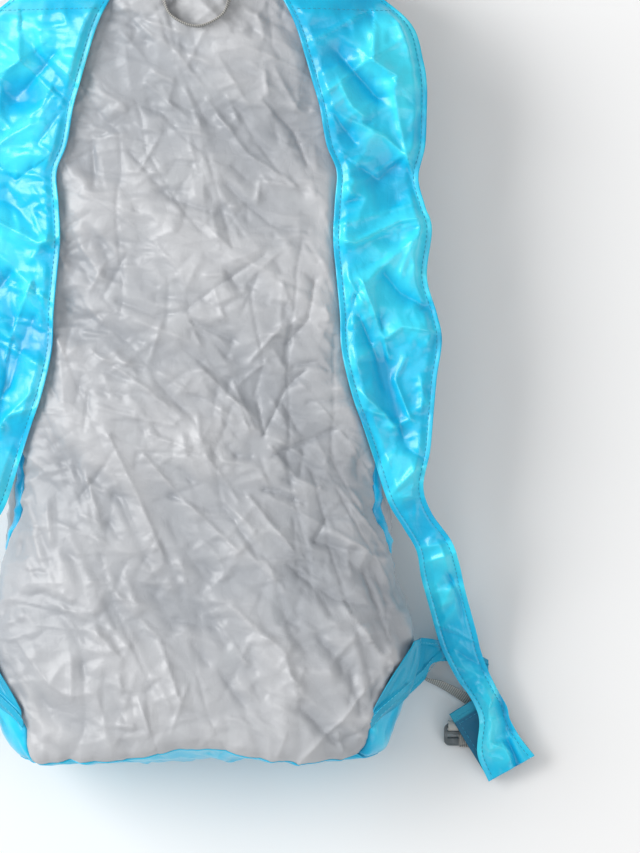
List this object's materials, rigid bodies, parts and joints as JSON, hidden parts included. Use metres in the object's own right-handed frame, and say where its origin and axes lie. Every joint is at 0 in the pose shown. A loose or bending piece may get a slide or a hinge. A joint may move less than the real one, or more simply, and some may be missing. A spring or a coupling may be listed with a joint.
{
  "type": "packable day pack",
  "caption": "Ultralight packable day pack lying on its front: crumpled nylon body, zipped mouth, two shoulder straps with webbing adjusters, wings and haul loop.",
  "frame": {"origin": "middle of the front panel's flat resting face, halfway between the pack's top and bottom", "axes": "+Y towards the pack's top, +Z from the front panel to the back panel, +X to the wearer's left"},
  "size_m": [0.408, 0.5005, 0.1066],
  "materials": {
    "grey_fabric": "coated ripstop, satin",
    "blue_fabric": "coated nylon, satin",
    "grey_webbing": "ribbed webbing",
    "zip_tape": "woven tape",
    "dark_plastic": "moulded",
    "slider_metal": "satin lacquer"
  },
  "bodies": {
    "pack": {"back_panel": "grey_fabric", "front_panel": "blue_fabric", "side_stripe_left": "blue_fabric", "side_stripe_right": "blue_fabric", "side_panel_left": "grey_fabric", "side_panel_right": "grey_fabric", "boot_corner_left": "blue_fabric", "boot_corner_right": "blue_fabric", "bottom_panel": "blue_fabric", "mouth_face": "blue_fabric", "mouth_end_left": "grey_fabric", "mouth_end_right": "grey_fabric", "zip_tape_face": "zip_tape", "zip_coil_face": "dark_plastic", "zip_end_tape_left": "zip_tape", "zip_end_tape_right": "zip_tape", "zip_stop_left": "dark_plastic", "zip_stop_right": "dark_plastic", "stuff_pouch": "grey_fabric", "wing_left": "blue_fabric", "wing_right": "blue_fabric", "adjuster_webbing_left": "grey_webbing", "adjuster_webbing_right": "grey_webbing"},
    "mouth": {"mouth_flap": "grey_fabric", "zip_tape_flap": "zip_tape", "zip_coil_flap": "dark_plastic"},
    "slider": {"zip_slider": "slider_metal"},
    "pull": {"zip_pull": "slider_metal"},
    "haul": {"haul_loop": "grey_webbing"},
    "strap_left": {"shoulder_strap_left": "blue_fabric", "strap_tail_left": "blue_fabric", "lock_loop_left": "grey_webbing", "adjuster_end_left": "grey_webbing"},
    "lock_left": {"ladder_lock_left": "dark_plastic"},
    "strap_right": {"shoulder_strap_right": "blue_fabric", "strap_tail_right": "blue_fabric", "lock_loop_right": "grey_webbing", "adjuster_end_right": "grey_webbing"},
    "lock_right": {"ladder_lock_right": "dark_plastic"}
  },
  "joints": [
    {"name": "zip_slide", "type": "slide", "parent": "pack", "child": "slider", "axis": [-1, 0, 0], "range_m": [0, 0.19]},
    {"name": "mouth_lift", "type": "hinge", "parent": "pack", "child": "mouth", "pos_m": [0, 0.2334, 0.086], "axis": [1, 0, 0], "range_deg": [0, 80]},
    {"name": "pull_swing", "type": "hinge", "parent": "slider", "child": "pull", "pos_m": [0.095, 0.2399, 0.0476], "axis": [1, 0, 0], "range_deg": [0, 150]},
    {"name": "haul_swing", "type": "hinge", "parent": "pack", "child": "haul", "pos_m": [0, 0.2295, 0.0935], "axis": [-1, 0, 0], "range_deg": [0, 110]},
    {"name": "strap_lift_left", "type": "hinge", "parent": "pack", "child": "strap_left", "pos_m": [-0.077, 0.216, 0.094], "axis": [-1, 0, 0], "range_deg": [0, 12]},
    {"name": "lock_swing_left", "type": "hinge", "parent": "strap_left", "child": "lock_left", "pos_m": [-0.1565, -0.226, 0.0074], "axis": [-1, 0, 0], "range_deg": [0, 18]},
    {"name": "strap_lift_right", "type": "hinge", "parent": "pack", "child": "strap_right", "pos_m": [0.077, 0.216, 0.094], "axis": [-1, 0, 0], "range_deg": [0, 12]},
    {"name": "lock_swing_right", "type": "hinge", "parent": "strap_right", "child": "lock_right", "pos_m": [0.1565, -0.226, 0.0074], "axis": [-1, 0, 0], "range_deg": [0, 18]}
  ],
  "couplings": [
    {"joint": "mouth_lift", "follows": "zip_slide", "rad_per_m": 7.348}
  ]
}
